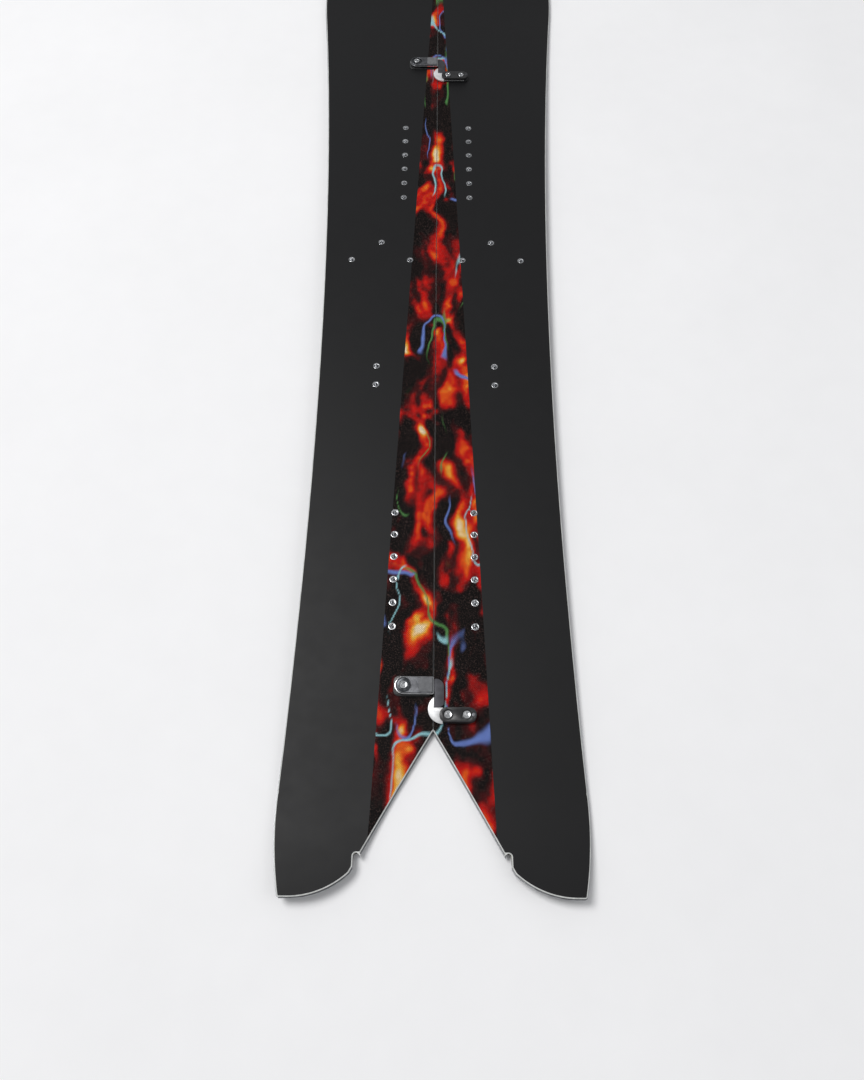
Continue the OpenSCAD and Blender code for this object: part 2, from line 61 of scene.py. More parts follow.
def soft_light(name, place, aim, size, power, tint):
    """A square light panel of the given size at one place, facing another."""
    panel = bpy.data.lights.new(name, "AREA")
    panel.shape = "SQUARE"
    panel.size = size
    panel.energy = power
    panel.color = tint
    lamp = bpy.data.objects.new(name, panel)
    lamp.location = place
    lamp.rotation_euler = (Vector(aim) - Vector(place)).to_track_quat("-Z", "Y").to_euler()
    bpy.context.scene.collection.objects.link(lamp)


soft_light("key_panel", (-1.9, 0.4, 4.1), (0, -0.4, 0), 1.9, 132, (1.0, 0.995, 0.99))
soft_light("fill_panel", (2.4, -0.9, 2.2), (0, -0.4, 0), 2.0, 10, (0.98, 0.99, 1.0))

room = bpy.data.worlds.new("studio_room")
room.use_nodes = True
room.node_tree.nodes["Background"].inputs["Color"].default_value = (0.97, 0.98, 1.0, 1)
room.node_tree.nodes["Background"].inputs["Strength"].default_value = 0.38
bpy.context.scene.world = room


def wire(material, kind, **settings):
    """One shader node. Settings are its properties, or its sockets by name: a socket or a value."""
    tree = material.node_tree
    made = tree.nodes.new("ShaderNode" + kind)
    for key, value in settings.items():
        if hasattr(made, key):
            setattr(made, key, value)
    for key, value in settings.items():
        if hasattr(made, key):
            continue
        index = int(key[1:]) if key[0] == "i" and key[1:].isdigit() else None
        socket = made.inputs[key.replace("_", " ") if index is None else index]
        if isinstance(value, bpy.types.NodeSocket):
            tree.links.new(value, socket)
        else:
            socket.default_value = value
    return made


def blank(name):
    """A new material with its principled shader and its object coordinates."""
    material = bpy.data.materials.new(name)
    material.use_nodes = True
    shader = material.node_tree.nodes["Principled BSDF"]
    place = wire(material, "TexCoord").outputs["Object"]
    return material, shader, place


def rgb(*levels):
    """Display levels from 0 to 255 as linear light: ((c + 0.055) / 1.055)^2.4, or c / 12.92 below 0.04."""
    c = np.array(levels, float) / 255
    return np.where(c <= 0.04045, c / 12.92, ((c + 0.055) / 1.055) ** 2.4)


def two_tone(material, factor, low, high):
    """A colour that runs from one display colour to another with a factor."""
    mix = wire(material, "Mix", data_type="RGBA")
    material.node_tree.links.new(factor, mix.inputs[0])
    mix.inputs[6].default_value = (*rgb(*low), 1)
    mix.inputs[7].default_value = (*rgb(*high), 1)
    return mix.outputs[2]


def finish(name, low, high, rough, metal=0.0, scale=400.0, stretch=(1, 1, 1), bump=0.0, gloss=0.5):
    """A surface whose colour and roughness wander between two limits with a noise, and whose skin
    follows a finer noise. Stretch squeezes the noise along an axis, as brushing or fibres do."""
    material, shader, place = blank(name)
    spread = wire(material, "Mapping", Vector=place, Scale=stretch).outputs[0]
    broad = wire(material, "TexNoise", Vector=spread, Scale=scale / 6, Detail=4.0).outputs["Fac"]
    fine = wire(material, "TexNoise", Vector=spread, Scale=scale, Detail=3.0).outputs["Fac"]
    both = wire(material, "Math", operation="MULTIPLY_ADD", i0=fine, i1=0.5)
    material.node_tree.links.new(broad, both.inputs[2])
    fade = wire(material, "MapRange", Value=both.outputs[0], From_Min=0.45, From_Max=1.05)
    material.node_tree.links.new(two_tone(material, fade.outputs[0], low, high), shader.inputs["Base Color"])
    sheen = wire(material, "MapRange", Value=broad, From_Min=0.3, From_Max=0.7,
                 To_Min=rough[0], To_Max=rough[1])
    material.node_tree.links.new(sheen.outputs[0], shader.inputs["Roughness"])
    shader.inputs["Metallic"].default_value = metal
    shader.inputs["Specular IOR Level"].default_value = gloss
    if bump:
        skin = wire(material, "Bump", Height=fine, Strength=bump, Distance=0.0002)
        material.node_tree.links.new(skin.outputs[0], shader.inputs["Normal"])
    return material


floor_mesh = bpy.data.meshes.new("floor")
floor_half, floor_z = 6.0, -0.0002
corners = [(a * floor_half, b * floor_half, floor_z) for a, b in ((-1, -1), (1, -1), (1, 1), (-1, 1))]
floor_mesh.from_pydata(corners, [], [(0, 1, 2, 3)])
floor = bpy.data.objects.new("floor", floor_mesh)
bpy.context.scene.collection.objects.link(floor)
floor_mesh.materials.append(finish("floor_paper", (243, 243, 244), (247, 247, 248), (0.85, 0.95), scale=30))

# ---- Steel edges ----
# Hardened steel strips, 2 mm wide, pressed round the base of each ski and along its seam,
# with their outer corners stoned. All lengths are millimetres until a mesh is made.

tail_y, tip_y = -770.0, 770.0
waist_y, nose_y, side_y, vee_y = -262.0, 404.0, -682.0, -624.0
front_contact, rear_contact = 390.0, -678.0
rear_pack, front_pack = -456.7, 111.3
seam_x, sidecut_r = 0.3, 7800.0
notch_x, notch_y, notch_r = 67.3, -734.5, 2.9
base_t, laminate_t, topsheet_t = 1.4, 0.7, 0.6
corner_r = 3.0


def smooth(t):
    """3 c^2 - 2 c^3 of t held between 0 and 1."""
    c = np.clip(t, 0, 1)
    return c * c * (3 - 2 * c)


def rise(y):
    """Height of the underside: a cosine camber of 5, a nose of 55 t^2.1 and a tail of 13 t^1.9."""
    camber = 2.5 * (1 - np.cos(2 * np.pi * (y - rear_contact) / (front_contact - rear_contact)))
    nose = 55 * np.clip((y - front_contact) / (tip_y - front_contact), 0, None) ** 2.1
    tail = 13 * np.clip((rear_contact - y) / (rear_contact - tail_y), 0, None) ** 1.9
    return np.where(y > front_contact, nose, np.where(y < rear_contact, tail, camber))


def core_t(y):
    """Core thickness: 2.6 at the tips and 6.4 between the insert packs, with smooth steps."""
    return 2.6 + 3.8 * (1 - smooth((-496.7 - y) / 233.3)) * (1 - smooth((y - 151.3) / 328.7))


def deck(y):
    """Height of the topsheet: underside, base, laminates, core and topsheet added up."""
    return rise(y) + base_t + 2 * laminate_t + core_t(y) + topsheet_t


def arc(centre, r, a0, a1, n):
    """Points at centre + r (cos a, sin a), a running from a0 to a1."""
    a = np.linspace(a0, a1, n)
    return np.stack([centre[0] + r * np.cos(a), centre[1] + r * np.sin(a)], 1)


def side_x(y):
    """Half width of the sidecut: 131.5 + (y - waist)^2 / (2 R)."""
    return 131.5 + (y - waist_y) ** 2 / (2 * sidecut_r)


def half_outline():
    """The right ski's outline, counter-clockwise from the V's apex: bowed V edge, tail end arc,
    flat, corner, side arc, sidecut, nose oval, seam. Also the corner's index and the V's count."""
    end_c, end_r = np.array([125.0, -692.7]), 77.3
    tip = np.array([72.4, end_c[1] - np.sqrt(end_r ** 2 - 52.6 ** 2)])
    along = tip - [seam_x, vee_y]
    aside = np.array([along[1], -along[0]]) / np.hypot(*along)
    t = np.linspace(0, 1, 61)[:, None]
    vee = [seam_x, vee_y] + along * t - aside * 4 * t * (1 - t)
    slope = (side_y - waist_y) / sidecut_r
    side_c = np.array([side_x(side_y), side_y]) + 293 * np.array([-1, slope]) / np.hypot(1, slope)
    low = np.arcsin((tail_y - side_c[1]) / 293)
    end = arc(end_c, end_r, np.arctan2(*(tip - end_c)[::-1]), -np.pi / 2, 25)[1:]
    side = arc(side_c, 293, low, -np.arctan(slope), 24)
    y = np.linspace(side_y, nose_y, 150)[1:]
    cut = np.stack([side_x(y), y], 1)
    t = 1 - (1 - np.linspace(0, 1, 120)[1:]) ** 2
    swell = side_x(nose_y) + (nose_y - waist_y) / sidecut_r * 366 * t * (1 - t) ** 4
    nose = np.stack([np.maximum(seam_x, swell * np.sqrt(1 - t ** 2.4)), nose_y + 366 * t], 1)
    y = np.linspace(tip_y, vee_y, 280)[1:-1]
    seam = np.stack([np.full_like(y, seam_x), y], 1)
    loop = np.concatenate([vee, end, [[129.0, tail_y]], side, cut, nose, seam])
    corner = len(vee) + len(end) + 1
    return loop, corner, len(vee), len(loop) - len(seam) - 1


def inset(loop, d, seam=None, seam_d=0.0):
    """Moves each edge of a closed loop inwards by d, or seam_d from index seam on: a corner goes
    to where its two moved edges meet."""
    edge = np.roll(loop, -1, 0) - loop
    b = np.stack([-edge[:, 1], edge[:, 0]], 1) / np.hypot(*edge.T)[:, None]
    a = np.roll(b, 1, 0)
    db = np.full(len(loop), float(d))
    if seam is not None:
        db[seam:] = seam_d
    da = np.roll(db, 1)
    cross = a[:, 0] * b[:, 1] - a[:, 1] * b[:, 0]
    cross[np.abs(cross) < 1e-9] = 1e-9
    even = (a + b) * (da / (1 + (a * b).sum(1)))[:, None]
    odd = np.stack([b[:, 1] * da - a[:, 1] * db, a[:, 0] * db - b[:, 0] * da], 1) / cross[:, None]
    return loop + np.where((da == db)[:, None], even, odd)


def rail(d, seam_d):
    """The outline moved in by d, with its tail corner rounded and opened at the skin notch. It
    runs from the notch round the tail, side, nose and seam to the notch's other side."""
    loop, corner, vee_n, seam = half_outline()
    loop = inset(loop, d, seam, seam_d)
    p, q, s = loop[corner - 1], loop[corner], loop[corner + 1]
    u, v = (q - p) / np.hypot(*(q - p)), (s - q) / np.hypot(*(s - q))
    r = max(corner_r - d, 0.3)
    bend = np.arctan2(u[0] * v[1] - u[1] * v[0], u @ v)
    start = q - u * r * np.tan(bend / 2)
    centre = start + r * np.array([-u[1], u[0]])
    first = np.arctan2(-u[0], u[1])
    fillet = arc(centre, r, first, first + bend, 8)
    vee, rest = loop[:vee_n], [loop[vee_n:corner], fillet, loop[corner + 1:]]
    way = (vee[-1] - vee[0]) / np.hypot(*(vee[-1] - vee[0]))
    s = (vee - vee[0]) @ way
    reach = np.array([notch_x, notch_y]) - vee[0]
    off = reach[0] * way[1] - reach[1] * way[0]
    upper = reach @ way - np.sqrt(max(0.0, notch_r ** 2 - off ** 2))
    lower = np.interp(notch_x + notch_r, vee[:, 0], s)
    past, ahead = np.linspace(lower, s[-1], 6), np.linspace(0, upper, 44)
    walk = lambda at: np.stack([np.interp(at, s, vee[:, 0]), np.interp(at, s, vee[:, 1])], 1)
    return np.concatenate([walk(past)[:-1], vee[-1:], *rest, walk(ahead)])


def loft(rings, closed=False):
    """Faces between rings of points, each ring closed on itself. The first and last rings are
    capped, or joined to each other when the loft is closed."""
    rings = np.asarray(rings, float)
    m, n = rings.shape[:2]
    i = np.arange(m * n).reshape(m, n)
    if closed:
        i = np.concatenate([i, i[:1]])
    a, b = i[:-1], i[1:]
    quads = np.stack([a, np.roll(a, -1, 1), np.roll(b, -1, 1), b], -1).reshape(-1, 4)
    points = rings.reshape(-1, 3)
    p = points[quads] - points.mean(0)
    volume = sum((np.cross(p[:, 0], p[:, k]) * p[:, k + 1]).sum() for k in (1, 2))
    caps = [] if closed else [i[0][::-1].tolist(), i[-1].tolist()]
    for cap in caps:
        c = points[cap] - points.mean(0)
        volume += (np.cross(c[0], c[1:-1]) * c[2:]).sum()
    faces = quads.tolist() + caps
    return points, [f[::-1] for f in faces] if volume < 0 else faces


def make(name, solids, material, body, nodes=(), mirrored=False, angle=35):
    """One mesh from several solids in millimetres, mirrored in X for the left ski, with edges
    sharper than an angle kept crisp. It rides on a body and stands for its nodes."""
    points, faces, start = [], [], 0
    for part, part_faces in solids:
        points.append(part * (-0.001 if mirrored else 0.001, 0.001, 0.001))
        faces += [[k + start for k in f] for f in part_faces]
        start += len(part)
    if mirrored:
        faces = [f[::-1] for f in faces]
    mesh = bpy.data.meshes.new(name)
    mesh.from_pydata(np.concatenate(points).tolist(), [], faces)
    mesh.polygons.foreach_set("use_smooth", [True] * len(mesh.polygons))
    mesh.set_sharp_from_angle(angle=radians(angle))
    mesh.materials.append(material)
    piece = bpy.data.objects.new(name, mesh)
    bpy.context.scene.collection.objects.link(piece)
    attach(piece, body)
    if nodes:
        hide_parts(*nodes)
    return piece


def strip(section):
    """A closed section carried round the rail. Each corner is (inset, inset at the seam, z), and
    z is a function of y."""
    lines = []
    for d, seam_d, z in section:
        path = rail(d, seam_d)
        lines.append(np.column_stack([path, z(path[:, 1])]))
    return loft(np.stack(lines, 1))


sides = (("left", "left_ski", True), ("right", "right_ski", False))
edge_steel = finish("edge_steel", (150, 152, 155), (205, 207, 210), (0.28, 0.45), metal=1.0,
                    scale=900, stretch=(1, 0.12, 1), bump=0.15)
edge_section = [
    (0.0, 0.0, lambda y: rise(y) + 0.15), (0.0, 0.0, lambda y: rise(y) + 1.9),
    (0.2, 0.1, lambda y: rise(y) + 2.1), (2.0, 2.0, lambda y: rise(y) + 2.1),
    (2.0, 2.0, lambda y: rise(y) + 0.0), (0.15, 0.15, lambda y: rise(y) + 0.0)]
for side, body, mirrored in sides:
    make(f"{side}_edge_strip", [strip(edge_section)], edge_steel, body,
         (f"{side}_steel_edge_outer", f"{side}_steel_edge_inner"), mirrored)

# ---- Sidewalls and the laminates' bevel ----
# Black sidewalls stand on the steel edges. Above them the glass laminate and the topsheet are
# milled back at about 40 degrees, which bares a pale line all round the deck.

sidewall_black = finish("sidewall_black", (30, 30, 32), (52, 52, 55), (0.3, 0.42), scale=700,
                        stretch=(1, 0.2, 1), bump=0.2)
bevel_glass = finish("bevel_glass", (176, 178, 176), (222, 223, 221), (0.38, 0.55), scale=1600,
                     stretch=(1, 0.25, 1), bump=0.3)
milled, film_inset = 0.9, 1.9
wall_section = [
    (0.5, 0.01, lambda y: rise(y) + 2.1), (0.6, 0.01, lambda y: rise(y) + 2.6),
    (0.9, 0.02, lambda y: deck(y) - milled), (3.6, 1.2, lambda y: deck(y) - milled),
    (3.6, 1.2, lambda y: rise(y) + 2.1)]
bevel_section = [
    (0.9, 0.02, lambda y: deck(y) - milled), (1.0, 0.03, lambda y: deck(y) - 0.78),
    (1.85, 0.1, lambda y: deck(y) - 0.04), (2.0, 0.14, lambda y: deck(y) - 0.01),
    (3.6, 1.2, lambda y: deck(y) - 0.1), (3.6, 1.2, lambda y: deck(y) - milled)]
for side, body, mirrored in sides:
    make(f"{side}_sidewall_strip", [strip(wall_section)], sidewall_black, body,
         (f"{side}_sidewall_outer", f"{side}_sidewall_inner"), mirrored)
    make(f"{side}_laminate_bevel", [strip(bevel_section)], bevel_glass, body, (), mirrored)

def notch_lip():
    """The bevel carried round the skin notch: a section of (radius, depth) points swept about the
    notch's centre from the V's side, over the top and straight down its far wall."""
    a = np.linspace(radians(172), 0, 22)
    turn = np.column_stack([np.cos(a), np.sin(a)])
    drop = np.linspace(-1, -10, 7)
    rings = []
    root = milled + 0.4
    for r, z in ((2.9, root), (2.9, 0.55), (3.05, 0.25), (3.6, 0.0), (4.0, 0.02), (4.0, root)):
        wall = np.column_stack([np.full(7, notch_x + r), notch_y + drop * (0.98 if r < 3 else 0.94)])
        line = np.concatenate([np.array([notch_x, notch_y]) + r * turn, wall])
        rings.append(np.column_stack([line, deck(line[:, 1]) + 0.015 - z]))
    return loft(np.stack(rings, 1))


for side, body, mirrored in sides:
    make(f"{side}_notch_lip", [notch_lip()], bevel_glass, body, (), mirrored)

# ---- Topsheet and its printed wedge ----
# A satin black film carries a woven, printed wedge along the seam. Every insert has its hole,
# and the film is bonded over the upper laminate.

insert_x, touring_x = 41.0, 66.4
pack_rows = (np.arange(6) - 2.5) * 25
bracket_at, riser_at = rear_pack + 402.8, rear_pack + 234.7
spots = {
    "binding_inserts": [(insert_x, c + r) for c in (rear_pack, front_pack) for r in pack_rows],
    "bracket_inserts": [(touring_x - 35, bracket_at), (touring_x + 35, bracket_at), (touring_x, bracket_at + 28)],
    "riser_inserts": [(touring_x, riser_at - 12.5), (touring_x, riser_at + 12.5)]}


wedge_w, wedge_taper = 46.5, 0.0435


def wedge(y):
    """Half width of the printed wedge: its width at the rear pack, less its taper times y ahead."""
    return wedge_w - wedge_taper * (y - rear_pack)


def waves(x, y, size, seed):
    """Smooth noise between -1 and 1: random values on a lattice of that size, blended by smooth steps."""
    table = np.random.default_rng(seed).uniform(-1, 1, (64, 512))
    u, v = x / size + 20, y / size + 250
    i, j = np.floor(u).astype(int) % 63, np.floor(v).astype(int) % 511
    a, b = smooth(u - np.floor(u)), smooth(v - np.floor(v))
    low = table[i, j] * (1 - a) + table[i + 1, j] * a
    high = table[i, j + 1] * (1 - a) + table[i + 1, j + 1] * a
    return low * (1 - b) + high * b


# The cloth's print is an abstract marbling: inks by rising heat, then the thin ribbons' inks.
heats = (0.0, 0.2, 0.44, 0.58, 0.7, 0.82)
heat_inks = [(13, 10, 10), (66, 13, 15), (200, 20, 14), (228, 92, 22), (234, 176, 60), (238, 218, 182)]
ribbon_inks = [(82, 138, 76), (104, 128, 196), (150, 204, 212)]


def printed(x, y):
    """Ink at each point: two noises, warped and drawn out along the board, add up to a heat that is
    read off the ramp of inks. Each ribbon follows the zero line of a noise of its own, and fades
    out where a broader noise is low."""
    wx = x + 8 * waves(x, y, 31, 3) + 1.6 * waves(x, y, 9, 4)
    wy = y + 24 * waves(x, y, 43, 5) + 5 * waves(x, y, 13, 6)
    heat = 0.13 + 0.56 * waves(wx, wy / 3, 15, 7) + 0.3 * waves(wx, wy / 2.2, 7, 8)
    heat = heat + 0.06 * waves(x, y, 4, 11)
    ramp = np.array([rgb(*ink) for ink in heat_inks])
    tone = np.stack([np.interp(heat, heats, channel) for channel in ramp.T], -1)
    for seed, ink in enumerate(ribbon_inks, 31):
        line = np.abs(waves(wx, wy / 3.5, 24, seed)) * 24
        shown = smooth((waves(x, y / 2, 40, seed + 10) - 0.12) / 0.2)
        cover = (shown * smooth((1.5 - line) / 1.2))[..., None]
        tone = tone * (1 - cover) + rgb(*ink) * cover
    return tone


def panel_rows(d):
    """Rows across a ski: closest at the tail's curved end and the notch, wide apart ahead."""
    y0, y1 = tail_y + d, tip_y - d - 0.02
    tail = y0 + np.linspace(0, 1, 14)[:-1] ** 2 * 16
    bite = np.arange(y0 + 16, -727, 0.6)
    near = np.arange(-727, 110, 1.5)
    far = np.arange(110, 560, 3.0)
    nose = 560 + (y1 - 560) * (1 - (1 - np.linspace(0, 1, 70)) ** 2)
    return np.concatenate([tail, bite, near, far, nose])


def panel_ends(d, seam_d, notch):
    """Inner and outer ends of each row at inset d, read off the outline and its tail fillet. The
    notch pushes the inner end to its far side: centre + r sqrt(1 - h^2), h its height over r."""
    loop, corner, _, seam = half_outline()
    path = rail(d, seam_d)
    loop = inset(loop, d, seam, seam_d)
    inner = loop[:corner - 1][::-1]
    y = panel_rows(d)
    x_in = np.interp(y, inner[:, 1], inner[:, 0])
    right = loop[corner + 1:seam + 1]
    fillet = path[(path[:, 1] < tail_y + d + 4) & (path[:, 0] > 126.5)]
    chain = np.concatenate([fillet, right[right[:, 1] > tail_y + d + 4.5]])
    chain = chain[np.argsort(chain[:, 1], kind="stable")]
    x_out = np.interp(y, chain[:, 1], chain[:, 0])
    drop = np.clip((y - notch_y) / notch, 0, 1)
    bite = notch_x + notch * np.sqrt(1 - drop ** 2)
    x_in = np.where(y < notch_y + notch, np.maximum(x_in, bite), x_in)
    return y, x_in, x_out


def panel(d, seam_d, notch, height, holes, inner_n, outer_n, hole_r=3.1):
    """Grid of rows from the inner to the outer end, its columns split at the wedge's line. Round
    each hole a block of faces gives way to a ring of faces from the block's rim to a circle."""
    y, x_in, x_out = panel_ends(d, seam_d, notch)
    loose = 0.03 + 0.5 * smooth((y - 600) / 100) + 0.5 * smooth((-728 - y) / 20)
    split = np.maximum(wedge(y), x_in + np.minimum(loose, 0.5) * (x_out - x_in))
    u, v = np.linspace(0, 1, inner_n + 1)[None], np.linspace(0, 1, outer_n + 1)[None, 1:]
    x = np.concatenate([x_in[:, None] + u * (split - x_in)[:, None],
                        split[:, None] + v * (x_out - split)[:, None]], 1)
    yy = np.broadcast_to(y[:, None], x.shape)
    points = np.stack([x, yy], -1).reshape(-1, 2)
    index = np.arange(x.size).reshape(x.shape)
    keep = np.ones((x.shape[0] - 1, x.shape[1] - 1), bool)
    extra, rings, count = [], [], x.size
    for cx, cy in holes:
        i0, i1 = np.searchsorted(y, cy - hole_r - 1.0) - 1, np.searchsorted(y, cy + hole_r + 1.0)
        row = x[(i0 + i1) // 2]
        j0, j1 = np.searchsorted(row, cx - hole_r - 1.0) - 1, np.searchsorted(row, cx + hole_r + 1.0)
        keep[i0:i1, j0:j1] = False
        rim = np.concatenate([index[i0, j0:j1], index[i0:i1, j1], index[i1, j1:j0:-1], index[i1:i0:-1, j0]])
        arm = points[rim] - [cx, cy]
        extra.append([cx, cy] + hole_r * arm / np.hypot(*arm.T)[:, None])
        new = count + np.arange(len(rim))
        count += len(rim)
        rings.append(np.stack([rim, np.roll(rim, -1), np.roll(new, -1), new], 1))
    quads = np.stack([index[:-1, :-1], index[:-1, 1:], index[1:, 1:], index[1:, :-1]], -1)[keep]
    points = np.concatenate([points, *extra])
    return np.column_stack([points, height(points[:, 1])]), np.concatenate([quads, *rings])


def sheet(name, points, quads, thick, material, body, nodes, mirrored, ink=False):
    """A panel given its thickness downwards: the faces again below, and a rim of faces along every
    edge that only one face uses."""
    used, quads = np.unique(quads, return_inverse=True)
    quads = quads.reshape(-1, 4)
    points, n = points[used], len(used)
    a, b = quads.ravel(), np.roll(quads, -1, 1).ravel()
    open_edge = ~np.isin(a * n + b, b * n + a)
    a, b = a[open_edge], b[open_edge]
    rim = np.stack([b, a, a + n, b + n], 1)
    faces = np.concatenate([quads, quads[:, ::-1] + n, rim])
    both = np.concatenate([points, points - (0, 0, thick)])
    piece = make(name, [(both, faces.tolist())], material, body, nodes, mirrored)
    if ink:
        tone = printed(both[:, 0] * (-1 if mirrored else 1), both[:, 1])
        colour = piece.data.color_attributes.new("print", "FLOAT_COLOR", "POINT")
        colour.data.foreach_set("color", np.column_stack([tone, np.ones(len(tone))]).ravel())


def film(name, gloss):
    """Satin black, and inside the wedge's line the ink attribute under a weave whose warp and weft
    are sine waves, with pale threads showing through here and there."""
    material, shader, place = blank(name)
    links = material.node_tree.links
    axes = wire(material, "SeparateXYZ", Vector=place)
    across = wire(material, "Math", operation="ABSOLUTE", i0=axes.outputs[0]).outputs[0]
    line = wire(material, "Math", operation="MULTIPLY_ADD", i0=axes.outputs[1], i1=-wedge_taper,
                i2=float(wedge(0)) * 0.001).outputs[0]
    inside = wire(material, "Math", operation="SUBTRACT", i0=line, i1=across).outputs[0]
    mask = wire(material, "MapRange", Value=inside, From_Min=-0.0001, From_Max=0.0001).outputs[0]
    ink = wire(material, "Attribute", attribute_name="print").outputs["Color"]
    warp = wire(material, "TexWave", Vector=place, Scale=280.0, bands_direction="DIAGONAL",
                Distortion=1.2).outputs["Fac"]
    weft = wire(material, "TexWave", Vector=place, Scale=300.0, bands_direction="X",
                Distortion=1.5).outputs["Fac"]
    cloth = wire(material, "Math", operation="MULTIPLY", i0=warp, i1=weft).outputs[0]
    grain = wire(material, "TexNoise", Vector=place, Scale=900.0, Detail=3.0).outputs["Fac"]
    shade = wire(material, "MapRange", Value=cloth, To_Min=0.6, To_Max=1.45).outputs[0]
    speck = wire(material, "MapRange", Value=grain, From_Min=0.3, From_Max=0.7,
                 To_Min=0.72, To_Max=1.25).outputs[0]
    both = wire(material, "Math", operation="MULTIPLY", i0=shade, i1=speck).outputs[0]
    woven = wire(material, "VectorMath", operation="SCALE", i0=ink)
    links.new(both, woven.inputs["Scale"])
    fleck = wire(material, "TexNoise", Vector=place, Scale=1100.0, Detail=1.0).outputs["Fac"]
    thread = wire(material, "MapRange", Value=fleck, From_Min=0.56, From_Max=0.76, To_Max=0.26).outputs[0]
    threads = wire(material, "Mix", data_type="RGBA")
    links.new(thread, threads.inputs[0])
    links.new(woven.outputs[0], threads.inputs[6])
    threads.inputs[7].default_value = (*rgb(140, 112, 106), 1)
    haze = wire(material, "TexNoise", Vector=place, Scale=5.0, Detail=5.0).outputs["Fac"]
    black = two_tone(material, haze, (14, 14, 15), (18, 18, 20))
    mix = wire(material, "Mix", data_type="RGBA")
    links.new(mask, mix.inputs[0])
    links.new(black, mix.inputs[6])
    links.new(threads.outputs[2], mix.inputs[7])
    links.new(mix.outputs[2], shader.inputs["Base Color"])
    rub = wire(material, "TexNoise", Vector=place, Scale=60.0, Detail=6.0).outputs["Fac"]
    satin = wire(material, "MapRange", Value=rub, From_Min=0.3, From_Max=0.7,
                 To_Min=0.45, To_Max=0.5).outputs[0]
    sheen = wire(material, "MapRange", Value=mask, To_Min=0.0, To_Max=0.1).outputs[0]
    dull = wire(material, "Math", operation="ADD", i0=satin, i1=sheen).outputs[0]
    links.new(dull, shader.inputs["Roughness"])
    relief = wire(material, "Math", operation="MULTIPLY", i0=cloth, i1=mask).outputs[0]
    height = wire(material, "Math", operation="MULTIPLY_ADD", i0=grain, i1=0.25, i2=relief).outputs[0]
    skin = wire(material, "Bump", Height=height, Strength=0.25, Distance=0.00015)
    links.new(skin.outputs[0], shader.inputs["Normal"])
    shader.inputs["Specular IOR Level"].default_value = gloss
    return material


topsheet_film, printed_cloth = film("topsheet_film", 0.26), film("printed_cloth", 0.06)
all_spots = [s for group in spots.values() for s in group]
points, quads = panel(film_inset, 0.12, 3.5, deck, all_spots, 38, 18)
centre = points[quads].mean(1)
in_wedge = centre[:, 0] < wedge(centre[:, 1])
for side, body, mirrored in sides:
    sheet(f"{side}_topsheet_film", points, quads[~in_wedge], 0.58, topsheet_film, body,
          (f"{side}_topsheet",), mirrored, ink=True)
    sheet(f"{side}_printed_wedge", points, quads[in_wedge], 0.58, printed_cloth, body,
          (f"{side}_graphic_inlay",), mirrored, ink=True)

# ---- Running base ----
# Sintered black polyethylene, stone ground in fine lines along the board, between the edges.

running_base = finish("running_base", (20, 20, 21), (33, 33, 35), (0.42, 0.6), scale=1400,
                      stretch=(1, 0.04, 1), bump=0.5, gloss=0.4)
points, quads = panel(2.0, 2.0, notch_r, lambda y: rise(y) + base_t, [], 10, 12)
for side, body, mirrored in sides:
    sheet(f"{side}_running_base", points, quads, base_t, running_base, body,
          (f"{side}_base",), mirrored)

# ---- Threaded inserts ----
# Stainless tee nuts pressed into the core from below. Each shows a faced ring, flush with the
# film, round a chamfered M6 bore.

insert_steel = finish("insert_steel", (170, 172, 175), (226, 227, 229), (0.16, 0.3), metal=1.0, scale=1500)
bore_depth, thread_pitch, insert_depth = 6.4, 1.0, 7.5


def tee_nut(cx, cy):
    """Profile (r, z) turned about a vertical line: bore floor, thread, chamfer, ring, barrel,
    flange. The thread's radius is 2.5 less a saw of its height and angle."""
    a = np.linspace(0, 2 * np.pi, 33)[:-1]
    z = np.linspace(-bore_depth + 0.3, -0.55, 26)
    turn = (z[:, None] / thread_pitch - a[None] / (2 * np.pi)) % 1.0
    thread = 2.5 - 0.32 * np.abs(2 * turn - 1)
    ring_z = np.array([-0.5, 0.04, 0.07, 0.07, 0.02, -0.2, 1 - insert_depth, 1 - insert_depth,
                       -insert_depth, -insert_depth])
    ring_r = np.array([2.5, 2.85, 2.95, 3.55, 3.66, 3.68, 3.68, 7.4, 7.4, 3.0])
    r = np.concatenate([np.full((2, 32), 2.1), thread, np.repeat(ring_r[:, None], 32, 1)])
    height = np.concatenate([[-bore_depth, -bore_depth + 0.25], z, ring_z])
    height = np.repeat(height[:, None], 32, 1) + deck(np.array(cy))
    return loft(np.stack([cx + r * np.cos(a), cy + r * np.sin(a), height], -1))


for group, places in spots.items():
    for side, body, mirrored in sides:
        make(f"{side}_{group}_set", [tee_nut(*p) for p in places], insert_steel, body,
             (f"{side}_{group}",), mirrored)

# ---- Clip latches ----
# A cast steel lever turns on a shouldered screw over a black base plate. Its far end carries a
# rubber grip and, below, the charcoal hook that reaches over the seam.

clip_places = {"tail": -579.5, "nose": 300.0}
pivot = np.array([-28.3, 0.0])
lever_steel = finish("lever_steel", (84, 85, 88), (122, 123, 127), (0.3, 0.46), metal=1.0,
                     scale=1300, bump=0.6)
bright_steel = finish("bright_steel", (186, 188, 190), (232, 233, 234), (0.14, 0.26), metal=1.0, scale=900)
clip_black = finish("clip_black", (22, 22, 23), (40, 40, 42), (0.32, 0.46), scale=1100, bump=0.4)
grip_rubber = finish("grip_rubber", (92, 93, 96), (118, 119, 122), (0.62, 0.8), scale=1800,
                     bump=0.9, gloss=0.35)
hook_charcoal = finish("hook_charcoal", (58, 58, 62), (84, 84, 89), (0.4, 0.55), metal=0.6,
                       scale=1000, bump=0.5)
washer_steel = finish("washer_steel", (58, 60, 63), (92, 94, 97), (0.3, 0.45), metal=1.0, scale=900)


